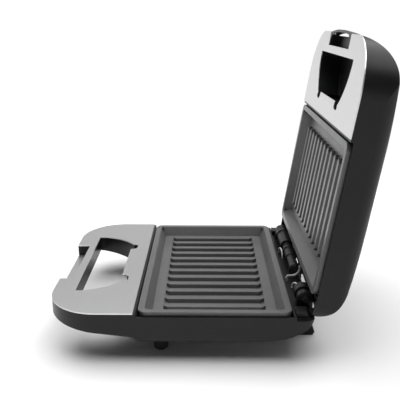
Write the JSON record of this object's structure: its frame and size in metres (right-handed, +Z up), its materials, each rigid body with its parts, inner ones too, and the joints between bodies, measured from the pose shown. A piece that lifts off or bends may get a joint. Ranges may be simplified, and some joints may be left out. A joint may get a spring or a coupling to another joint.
{
  "type": "panini press",
  "caption": "Contact grill with ribbed cooking plates in a base and a hinged lid, steel-faced loop handles and a flip latch, shown fully open.",
  "frame": {"origin": "middle of the open press's bounding box, on the table it stands on", "axes": "+Z up, +Y from the handles to the hinge, +X across the press along the hinge axis"},
  "size_m": [0.249, 0.3068, 0.2976],
  "materials": {
    "black_plastic": "satin, faintly grained moulding",
    "steel_trim": "satin",
    "cook_coating": "non-stick coated casting",
    "inner_steel": "plain sheet",
    "heater_metal": "dull tube",
    "screw_steel": "zinc plated",
    "pin_steel": "ground",
    "foot_rubber": "matt",
    "terminal_plastic": "plain",
    "cable_sleeve": "woven sleeve",
    "wire_sleeve": "glass fibre sleeve",
    "red_lens": "clear tinted",
    "green_lens": "clear tinted",
    "board": "coated"
  },
  "bodies": {
    "base": {"base_housing": "black_plastic", "base_bottom_cover": "black_plastic", "base_cover_screws": "screw_steel", "base_handle_trim": "steel_trim", "base_latch_keeper": "steel_trim", "base_grill_plate": "cook_coating", "base_heating_element": "heater_metal", "base_reflector_tray": "inner_steel", "base_plate_screws": "screw_steel", "base_terminal_block": "terminal_plastic", "base_thermal_fuse": "terminal_plastic", "front_feet": "foot_rubber", "rear_foot_blocks": "black_plastic", "rear_foot_pads": "foot_rubber", "hinge_brackets": "black_plastic", "hinge_bracket_screws": "screw_steel", "hinge_pins": "pin_steel", "hinge_washers": "pin_steel", "hinge_cable": "cable_sleeve", "hinge_wires": "wire_sleeve", "cord_gland": "black_plastic"},
    "lid": {"lid_housing": "black_plastic", "lid_handle_trim": "steel_trim", "lid_grill_plate": "cook_coating", "lid_heating_element": "heater_metal", "lid_reflector_tray": "inner_steel", "lid_plate_screws": "screw_steel", "lid_screw_plugs": "foot_rubber", "lid_hinge_barrel": "black_plastic", "lid_thermostat": "inner_steel", "power_lens": "red_lens", "ready_lens": "green_lens", "indicator_board": "board", "latch_pin": "pin_steel"},
    "latch": {"latch": "black_plastic"}
  },
  "joints": [
    {"name": "lid_hinge", "type": "hinge", "parent": "base", "child": "lid", "pos_m": [0, 0.09039, 0.054], "axis": [1, 0, 0], "range_deg": [0, 99]},
    {"name": "latch_pivot", "type": "hinge", "parent": "lid", "child": "latch", "pos_m": [0, 0.13038, 0.29309], "axis": [1, 0, 0], "range_deg": [0, 180]}
  ]
}
